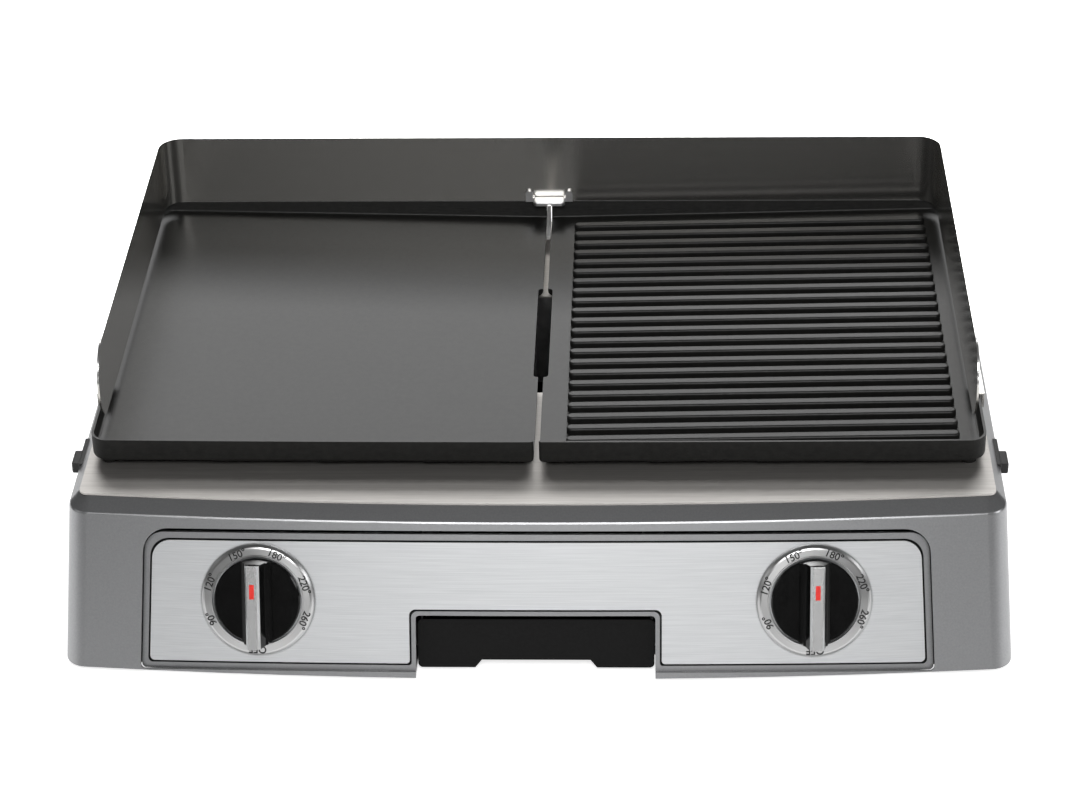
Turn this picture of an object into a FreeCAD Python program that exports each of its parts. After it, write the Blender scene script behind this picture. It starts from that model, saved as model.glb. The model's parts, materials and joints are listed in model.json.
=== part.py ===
import FreeCAD, Part
import math
import os
import re
import Sketcher

# Electric griddle with a flat plate and a ribbed plate, in millimetres.
# Origin: on the floor under the middle of the body. +X right, +Y to the back, +Z up.

V = FreeCAD.Vector
Z_AXIS = V(0, 0, 1)
X_AXIS = V(1, 0, 0)
Y_AXIS = V(0, 1, 0)

doc = FreeCAD.newDocument("ElectricGriddle")

# ---------------------------------------------------------------- driving dimensions
SIZES = {
    # housing
    "body_width": 586,            # over the sides at the bottom edge
    "body_front": -206,           # middle of the front's bottom edge
    "body_back": 210,
    "foot_height": 5,
    "fascia_rise": 91.5,          # height of the leaning front
    "fascia_lean": 21,            # degrees back from upright
    "side_flare": 5,              # how much narrower each side is at the fascia's top
    "bow_radius": 3430,           # the front's curve in plan
    "front_bevel": 10.4,
    "side_bevel": 6.7,
    "bevel_rise": 6.3,
    "corner_radius": 14,
    "wall": 2.5,
    # recess and panel in the front, heights measured up the slope
    "recess_half_width": 242.5,
    "recess_low": 3.9,
    "recess_high": 93.2,
    "recess_depth": 2.6,
    "panel_half_width": 237,
    "panel_low": 8.9,
    "panel_high": 85.4,
    "panel_sheet": 2,
    "panel_gap": 1.2,
    "opening_half_width": 73.5,
    "opening_high": 39.3,
    "opening_frame": 3.9,         # from the tray opening to the panel's notch
    # deck and plates
    "deck_sheet": 1.2,
    "plate_width": 555,           # over both plates
    "plate_depth": 313,
    "plate_front": -120,
    "plate_gap": 3.4,
    "plate_height": 16,
    "plate_seat": 4,              # the plates' pads stand this far over the deck
    "rim_top": 1.6,
    "rim_slope": 1.8,
    "rim_drop": 6,                # the floor's depth below the rim at the outer side
    "floor_fall": 1.1,            # degrees down towards the gap
    "plate_corner": 11,
    "rib_pitch": 13.2,
    "rib_width": 6.8,
    "rib_height": 4,
    "rib_length": 243.6,
    "rib_inset": 16.4,            # rib ends to the plate's inner edge
    "rib_start": 13.5,            # first rib's middle to the plate's front
    "drain_width": 3.1,
    "drain_start": 93,
    "drain_length": 114,
    # splash guard
    "guard_sheet": 1.2,
    "guard_inset": 5.5,
    "guard_rise": 49.5,
    "guard_lift_gap": 0.4,
    "guard_corner": 16,
    "guard_nose": 26.5,
    "guard_nose_start": 16,
    # controls
    "knob_spread": 170.5,
    "knob_slope_height": 47,
    "ring_radius": 35.2,
    "ring_inner": 28,
    "ring_height": 3.4,
    "knob_radius": 26.9,
    "knob_disc": 5,
    "grip_rise": 14,
    "grip_width": 15,
    "grip_top_width": 8.8,
    "bar_width": 6.2,
    "bar_length": 53.5,
    "shaft_radius": 3,
    "shaft_fit": 0.05,
    "knob_gap": 0.8,
    "shaft_length_out": 9,
    # drip tray
    "tray_half_width": 73,
    "tray_setback": 13,
    "tray_bottom": 6.6,
    "tray_face_low": 3.9,
    "finger_notch": 4.5,
    "tray_top_slope": 34.4,
    "tray_back": 112,
    "tray_sheet": 2,
    "tray_wall_height": 22,
    "tray_clearance": 0.5,
    # release buttons
    "button_height": 7.2,
    "button_length": 14.6,
    "button_proud": 5.5,
    "button_low": 90.3,
    "button_start": 14.4,         # behind the plates' front edge
    "button_fit": 0.3,
    # inside
    "element_radius": 4,
    "element_height": 92,
    "pan_depth": 38,
    "pan_sheet": 0.8,
    "screw_radius": 2,
    "base_sheet": 1.2,
    "cord_x": -200,
    "cord_height": 38,
    "cord_hole": 7,
}

sheet = doc.addObject("Spreadsheet::Sheet", "Sizes")
for row, (alias, number) in enumerate(SIZES.items(), start=1):
    sheet.set("A%d" % row, alias)
    sheet.set("B%d" % row, str(number))
    sheet.setAlias("B%d" % row, alias)
doc.recompute()

ALIAS = re.compile(r"\b(" + "|".join(SIZES) + r")\b")
parts = []


def linked(expression):
    """The expression with each alias written as a cell of the sheet."""
    return ALIAS.sub(r"Sizes.\1", str(expression))


def value(expression):
    """The number that an expression of sheet names gives now."""
    return float(sheet.evalExpression(linked(expression)))


def bind(thing, prop, expression):
    thing.setExpression(prop, linked(expression))


def register(thing, label):
    thing.Label = label
    parts.append(thing)
    return thing


# ---------------------------------------------------------------- sketches and bodies
def new_body(label):
    body = doc.addObject("PartDesign::Body", label)
    return register(body, label)


def new_sketch(body, role="XY_Plane", height="0"):
    sketch = body.newObject("Sketcher::SketchObject", body.Name + "_sketch")
    plane = next(o for o in body.Origin.OriginFeatures if o.Role == role)
    sketch.AttachmentSupport = [(plane, "")]
    sketch.MapMode = "FlatFace"
    bind(sketch, "AttachmentOffset.Base.z", height)
    return sketch


def point_at(corner):
    return V(value(corner[0]), value(corner[1]), 0)


def pin_point(sketch, geometry, end, corner):
    """Ties one end of a sketch edge to two expressions, measured from the sketch's origin."""
    for kind, expression in zip(("DistanceX", "DistanceY"), corner):
        index = sketch.addConstraint(Sketcher.Constraint(kind, -1, 1, geometry, end, value(expression)))
        bind(sketch, "Constraints[%d]" % index, expression)


def polygon(sketch, corners, front_bow=None):
    """A closed outline through corners. front_bow is the radius of the first edge's outward arc."""
    first = sketch.GeometryCount
    count = len(corners)
    spots = [point_at(corner) for corner in corners]
    for i, start in enumerate(spots):
        end = spots[(i + 1) % count]
        if i == 0 and front_bow:
            radius = value(front_bow)
            half = (end - start).Length / 2
            centre = (start + end) / 2 + V(0, math.sqrt(radius ** 2 - half ** 2), 0)
            angles = [math.atan2(p.y - centre.y, p.x - centre.x) for p in (start, end)]
            sketch.addGeometry(Part.ArcOfCircle(Part.Circle(centre, Z_AXIS, radius), *angles))
        else:
            sketch.addGeometry(Part.LineSegment(start, end))
    for i in range(count):
        follower = first + (i + 1) % count
        sketch.addConstraint(Sketcher.Constraint("Coincident", first + i, 2, follower, 1))
    for i, corner in enumerate(corners):
        pin_point(sketch, first + i, 1, corner)
    if front_bow:
        index = sketch.addConstraint(Sketcher.Constraint("Radius", first, value(front_bow)))
        bind(sketch, "Constraints[%d]" % index, front_bow)


def rectangle(sketch, left, right, low, high):
    polygon(sketch, [(left, low), (right, low), (right, high), (left, high)])


def circle(sketch, radius, x="0", y="0"):
    index = sketch.addGeometry(Part.Circle(point_at((x, y)), Z_AXIS, value(radius)))
    pin_point(sketch, index, 3, (x, y))
    constraint = sketch.addConstraint(Sketcher.Constraint("Radius", index, value(radius)))
    bind(sketch, "Constraints[%d]" % constraint, radius)


def pad(body, sketch, length, name="pad"):
    feature = body.newObject("PartDesign::Pad", body.Name + "_" + name)
    feature.Profile = sketch
    bind(feature, "Length", length)
    doc.recompute()
    return feature


def pocket(body, sketch, length, backwards=False, name="pocket"):
    before = body.Shape.Volume
    feature = body.newObject("PartDesign::Pocket", body.Name + "_" + name)
    feature.Profile = sketch
    feature.Reversed = backwards
    bind(feature, "Length", length)
    doc.recompute()
    if body.Shape.Volume >= before:
        raise RuntimeError(body.Label + ": the pocket removes nothing")
    return feature


def revolve(body, sketch):
    feature = body.newObject("PartDesign::Revolution", body.Name + "_turned")
    feature.Profile = sketch
    feature.ReferenceAxis = (sketch, ["V_Axis"])
    doc.recompute()
    return feature


def edges_where(shape, test):
    return ["Edge%d" % (i + 1) for i, edge in enumerate(shape.Edges) if test(edge)]


def is_upright(edge):
    ends = [vertex.Point for vertex in edge.Vertexes]
    if len(ends) != 2:
        return False
    span = ends[1] - ends[0]
    return abs(span.z) > 0.9 * span.Length and span.Length > 0.01


def fillet(body, base, radius, test, name="fillet"):
    feature = body.newObject("PartDesign::Fillet", body.Name + "_" + name)
    feature.Base = (base, edges_where(base.Shape, test))
    bind(feature, "Radius", radius)
    doc.recompute()
    return feature


def solid_part(label, shape):
    """A sub-part whose shape is made with Part's own functions from the sheet's sizes."""
    feature = doc.addObject("Part::Feature", label)
    feature.Shape = shape.removeSplitter()
    return register(feature, label)


def box(x0, x1, y0, y1, z0, z1):
    return Part.makeBox(x1 - x0, y1 - y0, z1 - z0, V(x0, y0, z0))


def cylinder(radius, height, base, axis=Z_AXIS):
    return Part.makeCylinder(radius, height, base, axis)


def mirrored(shape):
    return shape.mirror(V(0, 0, 0), X_AXIS)


def fillet_edges(shape, radius, test):
    edges = [edge for edge in shape.Edges if test(edge)]
    return shape.makeFillet(radius, edges) if edges else shape


def on_height(edge, z):
    return abs(edge.BoundBox.ZMin - z) < 0.01 and abs(edge.BoundBox.ZMax - z) < 0.01


# ---------------------------------------------------------------- named heights and places
LEAN = math.radians(value("fascia_lean"))
FOOT = value("foot_height")
FASCIA_TOP = value("foot_height + fascia_rise")
SHELL_TOP = value("foot_height + fascia_rise + bevel_rise")
DECK_TOP = SHELL_TOP + value("deck_sheet")
PLATE_LOW = DECK_TOP + value("plate_seat")
RIM_TOP = PLATE_LOW + value("plate_height")
WALL = value("wall")
HALF_PLATES = value("plate_width / 2")
PLATE_FRONT = value("plate_front")
PLATE_BACK = value("plate_front + plate_depth")
GUARD_LOW = RIM_TOP + value("guard_lift_gap")
SLOPE_UP = V(0, math.sin(LEAN), math.cos(LEAN))
OUTWARD = V(0, -math.cos(LEAN), math.sin(LEAN))
FASCIA_FOOT = V(0, value("body_front"), FOOT)

SHELL_TOP_CELLS = "(foot_height + fascia_rise + bevel_rise)"


def bow_at(x):
    """How far the bowed front has fallen back at x."""
    radius = value("bow_radius")
    return radius - math.sqrt(radius ** 2 - x ** 2)


def fascia_point(x, slope_height, proud=0.0):
    """A point on the leaning front, or proud of it."""
    spot = FASCIA_FOOT + SLOPE_UP * slope_height + OUTWARD * proud
    return spot + V(x, bow_at(x), 0)


def level_outline(z, half, front, back, radius):
    """A housing outline at one height: bowed front, straight sides and back, rounded corners."""
    bow = value("bow_radius")
    bow_centre = V(0, front + bow, z)
    front_centre = V(half - radius, bow_centre.y - math.sqrt((bow - radius) ** 2 - (half - radius) ** 2), z)
    back_centre = V(half - radius, back - radius, z)
    outward = (front_centre - bow_centre).normalize()
    touch = bow_centre + outward * bow
    corner = front_centre + (outward + X_AXIS).normalize() * radius
    right = [Part.Arc(touch, corner, front_centre + X_AXIS * radius).toShape(),
             Part.makeLine(front_centre + X_AXIS * radius, back_centre + X_AXIS * radius),
             Part.Arc(back_centre + X_AXIS * radius, back_centre + V(1, 1, 0).normalize() * radius,
                      back_centre + Y_AXIS * radius).toShape()]
    left = [mirrored(edge) for edge in right]
    middle = [Part.Arc(V(-touch.x, touch.y, z), V(0, front, z), touch).toShape(),
              Part.makeLine(back_centre + Y_AXIS * radius, V(-back_centre.x, back, z))]
    return Part.Wire(Part.__sortEdges__(right + left + middle))


def housing_form(inset):
    """The housing's solid outer form, or the same form smaller by a wall."""
    half = value("body_width / 2") - inset
    front = value("body_front") + inset / math.cos(LEAN)
    back = value("body_back") - inset
    rise = value("fascia_rise") - inset * 0.4
    flare = value("side_flare")
    lean_run = value("fascia_rise") * math.tan(LEAN)
    below = 1 if inset else 0
    radius = value("corner_radius") - inset
    wires = [
        level_outline(FOOT - below, half, front - below * math.tan(LEAN), back, radius),
        level_outline(FOOT + rise, half - flare, front + rise * math.tan(LEAN), back - flare, radius),
        level_outline(SHELL_TOP - inset, half - flare - value("side_bevel"),
                      value("body_front") + lean_run + value("front_bevel") + inset * 0.7,
                      back - flare - value("side_bevel"), radius * 0.6),
    ]
    form = Part.makeLoft(wires, True, True)
    if inset:
        return form
    form = fillet_edges(form, 2.2, lambda e: on_height(e, FASCIA_TOP))
    return fillet_edges(form, 1.2, lambda e: on_height(e, SHELL_TOP))


def bowed_slab(outer, inner):
    """The space between two surfaces parallel to the front, at depths outer and inner below it."""
    reach = value("body_width") * 0.6
    wires = []
    for depth in (outer, inner):
        shift = FASCIA_FOOT + V(0, depth / math.cos(LEAN), 0) - SLOPE_UP * 40
        points = [shift + V(x, bow_at(abs(x)), 0) for x in (-reach, 0, reach)]
        wires.append(Part.Arc(*points).toShape())
    ends = [[wire.valueAt(wire.FirstParameter), wire.valueAt(wire.LastParameter)] for wire in wires]
    joins = [Part.makeLine(ends[0][k], ends[1][k]) for k in (0, 1)]
    outline = Part.Wire(Part.__sortEdges__(wires + joins))
    return Part.Face(outline).extrude(SLOPE_UP * 200)


def to_fascia(shape):
    """Moves a shape drawn with x right, y up the slope and z outward onto the front."""
    turned = shape.copy()
    turned.Placement = FreeCAD.Placement(FASCIA_FOOT, FreeCAD.Rotation(X_AXIS, 90 - math.degrees(LEAN)))
    return turned


def flare_at(slope_height):
    """The sides' narrowing up the slope, from mid-height."""
    middle = value("(panel_low + panel_high) / 2")
    return (slope_height - middle) * value("side_flare / fascia_rise") * math.cos(LEAN)


def rounded_prism(points, radii, low, high):
    """An upright prism over a polygon, each corner rounded by its own radius."""
    wire = Part.makePolygon([V(x, y, low) for x, y in points] + [V(*points[0], low)])
    prism = Part.Face(wire).extrude(V(0, 0, high - low))
    for (x, y), radius in zip(points, radii):
        if radius:
            here = [edge for edge in prism.Edges if is_upright(edge)
                    and abs(edge.Vertexes[0].X - x) < 0.01 and abs(edge.Vertexes[0].Y - y) < 0.01]
            prism = prism.makeFillet(radius, here)
    return prism


def panel_points(grow, notch_grow):
    """The panel's outline with its notch over the tray, grown outward by a clearance."""
    low = value("panel_low") - grow
    high = value("panel_high") + grow
    wide = value("panel_half_width") + grow
    notch = value("opening_half_width + opening_frame") - notch_grow
    notch_top = value("opening_high + opening_frame") - notch_grow
    return [(-wide + flare_at(low), low), (-notch, low), (-notch, notch_top), (notch, notch_top),
            (notch, low), (wide - flare_at(low), low), (wide - flare_at(high), high),
            (-wide + flare_at(high), high)]


PANEL_CORNERS = [3, 2, 4, 4, 2, 3, 12, 12]


def panel_form(grow, outer, inner):
    prism = rounded_prism(panel_points(grow, grow), PANEL_CORNERS, -40, 40)
    return to_fascia(prism).common(bowed_slab(outer, inner))


# ---------------------------------------------------------------- housing
def recess_cutter():
    wide = value("recess_half_width")
    low = value("recess_low")
    high = value("recess_high")
    points = [(-wide + flare_at(low), low), (wide - flare_at(low), low),
              (wide - flare_at(high), high), (-wide + flare_at(high), high)]
    prism = rounded_prism(points, [2.5, 2.5, 16, 16], -40, 40)
    return to_fascia(prism).common(bowed_slab(-20, value("recess_depth")))


def tray_opening_cutter():
    wide = value("opening_half_width")
    high = value("opening_high")
    points = [(-wide, -30), (wide, -30), (wide, high), (-wide, high)]
    return to_fascia(rounded_prism(points, [0, 0, 2.5, 2.5], -30, 30))


def knob_turn(side):
    """The rotation that stands a control on the bowed front: its own z outward, its y up the slope."""
    yaw = math.degrees(math.asin(value("knob_spread / bow_radius") * math.cos(LEAN)))
    return FreeCAD.Rotation(X_AXIS, 90 - math.degrees(LEAN)) * FreeCAD.Rotation(Y_AXIS, side * yaw)


def knob_axis(side):
    return knob_turn(side).multVec(Z_AXIS)


def knob_spot(side, proud=0.0):
    """A point on a knob's axis."""
    return fascia_point(side * value("knob_spread"), value("knob_slope_height")) + knob_axis(side) * proud


BOSSES = [(sx * 0.5 * value("body_width") - sx * 20, y)
          for sx in (-1, 1) for y in (value("body_front") + 70, 0, value("body_back") - 18)]


def escutcheon_box(grow=0.0):
    """The block in the right side that guides a release button."""
    outer = value("body_width / 2 - side_flare") + 0.7
    start = PLATE_FRONT + value("button_start")
    low = value("button_low")
    return (outer - 5.5, outer, start - 2.5 - grow, start + value("button_length") + 12.5 + grow,
            low - 2.3 - grow, low + value("button_height") + 1.1 + grow)


LUG_X = "(plate_width / 2 - 6)"
LUG_START = "(plate_front + button_start + 2.3)"


def lug_box(grow=0.0):
    """The tab under a plate's front corner that the latch reaches around."""
    return (value(LUG_X) - grow, value(LUG_X) + 2.5 + grow, value(LUG_START) - grow,
            value(LUG_START) + 10 + grow, RIM_TOP - 35, PLATE_LOW + 2)


def spring_spot():
    """Where the right-hand button's spring stands: its inner end."""
    return V(value(LUG_X) - 1.9, value(LUG_START) + 18.5, value("button_low") + 2.5)


def spring_span(half):
    """The seat's front, back and bottom around the spring."""
    spot = spring_spot()
    return (spot.y - half, spot.y + half, spot.z - half)


def housing_shell():
    shell = housing_form(0).cut(housing_form(WALL))
    shell = shell.fuse(to_fascia(rounded_prism(
        [(-90, 1), (90, 1), (90, 52), (-90, 52)], [0, 0, 0, 0], -40, 40)).common(bowed_slab(0.5, 5.5)))
    shell = shell.fuse(panel_form(5, 0.4, value("recess_depth + panel_sheet") + 2.2))
    shell = shell.cut(recess_cutter())
    seat = value("recess_depth + panel_sheet") - 0.4
    shell = shell.cut(panel_form(value("panel_gap"), -10, seat))
    groove = panel_form(value("panel_gap"), seat - 1, seat + 1.8)
    shell = shell.cut(groove.cut(panel_form(-0.4, seat - 2, seat + 4)))
    shell = shell.cut(tray_opening_cutter())
    half = HALF_PLATES - 13.5
    shell = shell.cut(box(-half, half, PLATE_FRONT + 14, PLATE_BACK - 12, SHELL_TOP - 20, SHELL_TOP + 5))
    for side in (-1, 1):
        shell = shell.cut(cylinder(5.2, 60, knob_spot(side, -40), knob_axis(side)))
    x0, x1, y0, y1, z0, z1 = escutcheon_box(0.1)
    guide = box(x0 - 2, x1, y0, y1, z0, z1)
    lug_slot = box(*lug_box(1.5))
    spring_seat = box(value(LUG_X) - 4.7, value(LUG_X) - 1.9, *spring_span(4), SHELL_TOP - 1)
    shell = shell.fuse([spring_seat, mirrored(spring_seat)])
    shell = shell.cut([guide, mirrored(guide), lug_slot, mirrored(lug_slot)])
    for x, y in BOSSES:
        height = SHELL_TOP - WALL - FOOT - value("base_sheet")
        shell = shell.fuse(cylinder(4.5, height, V(x, y, FOOT + value("base_sheet"))))
    for x, y in BOSSES:
        shell = shell.cut(cylinder(value("screw_radius") + 0.05, 16, V(x, y, FOOT)))
    cord_spot = V(value("cord_x"), value("body_back") - 20, value("cord_height"))
    shell = shell.cut(cylinder(value("cord_hole"), 30, cord_spot, Y_AXIS))
    shell = shell.common(housing_form(0))
    return shell


def control_panel():
    depth = value("recess_depth + panel_sheet") - 0.4
    panel = panel_form(0, depth - value("panel_sheet"), depth)
    for side in (-1, 1):
        panel = panel.cut(cylinder(5.4, 40, knob_spot(side, -20), knob_axis(side)))
    return panel


solid_part("housing_shell", housing_shell())
solid_part("control_panel", control_panel())

# ---------------------------------------------------------------- deck
DECK_HALF = "(body_width / 2 - side_flare - side_bevel)"
DECK_FRONT = "(body_front + fascia_rise * tan(fascia_lean * 1 deg) + front_bevel)"
DECK_BACK = "(body_back - side_flare - side_bevel)"
ZONE_OUTER = "(plate_width / 2 - 15.5)"
ZONE_INNER = "12"
ZONE_FRONT = "(plate_front + 18)"
ZONE_BACK = "(plate_front + plate_depth - 16)"
DRAIN_HALF = "(plate_gap / 2 + drain_width + 2.4)"
DRAIN_FRONT = "(plate_front + drain_start - 5)"
DRAIN_BACK = "(plate_front + drain_start + drain_length + 5)"


def deck_plate():
    body = new_body("deck_plate")
    sketch = new_sketch(body, height=SHELL_TOP_CELLS)
    bow = "(bow_radius - sqrt(bow_radius ^ 2 - %s ^ 2))" % DECK_HALF
    front = DECK_FRONT + " + " + bow
    polygon(sketch, [("-" + DECK_HALF, front), (DECK_HALF, front), (DECK_HALF, DECK_BACK),
                     ("-" + DECK_HALF, DECK_BACK)], front_bow="bow_radius")
    plate = pad(body, sketch, "deck_sheet")
    fillet(body, plate, "5", is_upright)
    openings = new_sketch(body, height=SHELL_TOP_CELLS + " - 1")
    rectangle(openings, ZONE_INNER, ZONE_OUTER, ZONE_FRONT, ZONE_BACK)
    rectangle(openings, "-" + ZONE_OUTER, "-" + ZONE_INNER, ZONE_FRONT, ZONE_BACK)
    rectangle(openings, "-" + DRAIN_HALF, DRAIN_HALF, DRAIN_FRONT, DRAIN_BACK)
    for side in ("", "-"):
        low, high = (LUG_X + " - 1.5", LUG_X + " + 4")
        span = (low, high) if side == "" else ("-(%s)" % high, "-(%s)" % low)
        rectangle(openings, span[0], span[1], LUG_START + " - 1.5", LUG_START + " + 11.5")
    pocket(body, openings, "deck_sheet + 2", backwards=True)


deck_plate()


# ---------------------------------------------------------------- cooking plates
def plate_outline(inset, z, left_inset=None):
    """The right-hand plate's outline, bowed at the front, at height z."""
    inner = value("plate_gap / 2") + (inset if left_inset is None else left_inset)
    outer = HALF_PLATES - inset
    bow = 2.3
    front = [V(x, PLATE_FRONT + inset - bow * (1 - (x / HALF_PLATES) ** 2), z)
             for x in (inner, (inner + outer) / 2, outer)]
    back = PLATE_BACK - inset
    corners = [front[0], front[2], V(outer, back, z), V(inner, back, z)]
    bowed = Part.Arc(front[0], front[1], front[2]).toShape()
    straight = [Part.makeLine(corners[i], corners[(i + 1) % 4]) for i in (1, 2, 3)]
    return Part.Wire([bowed] + straight)


def right_plate(ribbed):
    """A cast plate with a rim on its front, outer side and back."""
    block = Part.Face(plate_outline(0, PLATE_LOW)).extrude(V(0, 0, value("plate_height")))
    middle_x = HALF_PLATES / 2
    block = fillet_edges(block, value("plate_corner"),
                         lambda e: is_upright(e) and e.Vertexes[0].X > middle_x)
    block = fillet_edges(block, 2, lambda e: is_upright(e) and abs(e.Vertexes[0].X) < 3)
    block = fillet_edges(block, 3, lambda e: on_height(e, PLATE_LOW) and e.BoundBox.XMax > 8)
    drop = value("plate_height") - 1
    inset = value("rim_top")
    foot_inset = inset + value("rim_slope") * drop / value("rim_drop")
    well = Part.makeLoft([plate_outline(inset, RIM_TOP, -6),
                          plate_outline(foot_inset, RIM_TOP - drop, -6)], True, True)
    rounding = value("plate_corner") - inset
    well = fillet_edges(well, rounding, lambda e: abs(e.Vertexes[1].Z - e.Vertexes[0].Z) > 5
                        and e.Vertexes[0].X > middle_x)
    floor_turn = FreeCAD.Rotation(Y_AXIS, -value("floor_fall"))
    floor_spot = V(HALF_PLATES - inset, 0, RIM_TOP - value("rim_drop"))
    above = box(-500, 100, -500, 500, 0, 100)
    above.Placement = FreeCAD.Placement(floor_spot, floor_turn)
    well = well.common(above)
    plate = block.cut(well)
    plate = fillet_edges(plate, 1.8, lambda e: on_floor_rim(e, floor_spot, floor_turn))
    if ribbed:
        plate = plate.fuse(ribs(floor_spot, floor_turn))
    plate = plate.cut(drain_cutter())
    for x, y in PLATE_PADS:
        plate = plate.fuse(cylinder(5, value("plate_seat"), V(x, y, DECK_TOP)))
    return plate.fuse(box(*lug_box()))


PLATE_PADS = [(x, y) for x in (20, HALF_PLATES - 10) for y in (PLATE_FRONT + 10, PLATE_BACK - 10)]


def on_floor_rim(edge, spot, turn):
    """Edges where the sloping floor meets the rim."""
    normal = turn.multVec(Z_AXIS)
    ends = [vertex.Point for vertex in edge.Vertexes]
    flat = all(abs((p - spot).dot(normal)) < 0.02 for p in ends)
    return flat and max(p.x for p in ends) > 6


def ribs(spot, turn):
    """Raised bars with rounded ends that follow the floor's slope."""
    half = value("rib_width / 2")
    reach = value("rib_length") - half
    rise = value("rib_height")
    outline = Part.Wire([Part.makeLine(V(half, -half, -1), V(reach, -half, -1)),
                         Part.Arc(V(reach, -half, -1), V(reach + half, 0, -1), V(reach, half, -1)).toShape(),
                         Part.makeLine(V(reach, half, -1), V(half, half, -1)),
                         Part.Arc(V(half, half, -1), V(0, 0, -1), V(half, -half, -1)).toShape()])
    bar = Part.Face(outline).extrude(V(0, 0, rise + 1))
    bar = fillet_edges(bar, 1.4, lambda e: on_height(e, rise))
    lift = spot + turn.multVec(V(value("plate_gap / 2 + rib_inset") - spot.x, 0, 0))
    made = []
    for i in range(22):
        y = PLATE_FRONT + value("rib_start") + i * value("rib_pitch")
        rib = bar.copy()
        rib.Placement = FreeCAD.Placement(V(lift.x, y, lift.z), turn)
        made.append(rib)
    return made


def drain_cutter():
    """The notch in the inner edge that lets fat run down between the plates."""
    edge = value("plate_gap / 2")
    depth = value("drain_width")
    low = PLATE_FRONT + value("drain_start")
    slot = box(edge - 5, edge + depth, low, low + value("drain_length"), PLATE_LOW - 1, RIM_TOP)
    return fillet_edges(slot, 2.5, lambda e: is_upright(e) and e.Vertexes[0].X > edge)


solid_part("flat_plate", mirrored(right_plate(False)))
solid_part("ribbed_plate", right_plate(True))


# ---------------------------------------------------------------- splash guard and its clip
def guard_half_width():
    return HALF_PLATES - value("guard_inset")


def splash_guard():
    """A bent sheet on three sides, standing over the plates' rims on two hooks and the back rim."""
    half = guard_half_width()
    sheet_size = value("guard_sheet")
    back = PLATE_BACK + 0.2
    top = GUARD_LOW + value("guard_rise")
    nose = value("guard_nose")
    nose_y = PLATE_FRONT + value("guard_nose_start") + nose
    corner = value("guard_corner")
    outer = rounded_prism([(-half, nose_y), (half, nose_y), (half, back), (-half, back)],
                          [0, 0, corner, corner], GUARD_LOW, top)
    inner = rounded_prism([(-half + sheet_size, nose_y - 1), (half - sheet_size, nose_y - 1),
                           (half - sheet_size, back - sheet_size), (-half + sheet_size, back - sheet_size)],
                          [0, 0, corner - sheet_size, corner - sheet_size], GUARD_LOW - 1, top + 1)
    guard = outer.cut(inner)
    disc = cylinder(nose, sheet_size, V(half - sheet_size, nose_y, top - nose), X_AXIS)
    ahead = box(0, half + 5, nose_y - nose - 1, nose_y, GUARD_LOW, top)
    cheek = disc.common(ahead)
    hook = guard_hook(half, nose_y)
    for shape in (cheek, hook, mirrored(cheek), mirrored(hook)):
        guard = guard.fuse(shape)
    return guard


def guard_hook(half, nose_y):
    """A folded tab that rests on a plate's rim and reaches down outside it."""
    sheet_size = value("guard_sheet")
    outside = HALF_PLATES + 1.6
    start = PLATE_FRONT + 52
    length = 28
    end = start + length
    shelf_top = GUARD_LOW + sheet_size
    shelf = box(half - sheet_size, outside + sheet_size, start, end, GUARD_LOW, shelf_top)
    drop = box(outside, outside + sheet_size, start, end, GUARD_LOW - 9, shelf_top)
    return shelf.fuse(drop)


def plate_clip():
    """The bent steel clip at the back: two ears on the guard, a bar over the rims, a fin in the gap."""
    back = PLATE_BACK + 0.2 - value("guard_sheet")
    low = GUARD_LOW + 0.3
    bar = box(-11, 11, back - 9, back - 0.1, low, low + 3)
    bar = fillet_edges(bar, 2.4, lambda e: is_upright(e))
    bar = fillet_edges(bar, 1.2, lambda e: on_height(e, low + 3))
    fin_half = value("plate_gap / 2") - 0.45
    fin = box(-fin_half, fin_half, back - 33, back - 6, RIM_TOP - 13, low + 1)
    slope = box(-5, 5, -60, 0, 0, 40)
    slope.Placement = FreeCAD.Placement(V(0, back - 9, low + 0.5), FreeCAD.Rotation(X_AXIS, 26))
    clip = bar.fuse(fin.cut(slope))
    ear = box(11.5, 16.5, back - 2.1, back - 0.1, low - 0.2, low + 8)
    ear = fillet_edges(ear, 2.3, lambda e: abs(e.BoundBox.YLength - 2) < 0.01 and e.BoundBox.ZMin > low + 7)
    web = box(10, 12.5, back - 2.1, back - 0.1, low - 0.2, low + 2.6)
    for shape in (ear, web, mirrored(ear), mirrored(web)):
        clip = clip.fuse(shape)
    return clip


solid_part("splash_guard", splash_guard())
solid_part("plate_clip", plate_clip())


# ---------------------------------------------------------------- controls
def place_control(thing, side):
    """Stands a control on the bowed, leaning front."""
    spread = "knob_spread" if side > 0 else "-knob_spread"
    bow = "(bow_radius - sqrt(bow_radius ^ 2 - knob_spread ^ 2))"
    thing.Placement = FreeCAD.Placement(knob_spot(side), knob_turn(side))
    bind(thing, "Placement.Base.x", spread)
    bind(thing, "Placement.Base.y",
         "body_front + knob_slope_height * sin(fascia_lean * 1 deg) + " + bow)
    bind(thing, "Placement.Base.z", "foot_height + knob_slope_height * cos(fascia_lean * 1 deg)")


PANEL_FACE = "(0.4 - recess_depth)"


def dial_ring(name, side):
    body = new_body("dial_ring_" + name)
    sketch = new_sketch(body, "XZ_Plane")
    foot = PANEL_FACE + " + 0.2"
    band = "(ring_height - recess_depth)"
    polygon(sketch, [("ring_inner", foot), ("ring_radius", foot), ("ring_radius", foot + " + 0.9"),
                     ("ring_radius - 0.5", foot + " + 1.7"), ("ring_radius - 1.6", band + " - 0.3"),
                     ("ring_radius - 2.6", band), ("ring_inner + 0.7", band),
                     ("ring_inner + 0.45", band + " + 0.4"), ("ring_inner", band + " + 0.4")])
    revolve(body, sketch)
    place_control(body, side)


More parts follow.
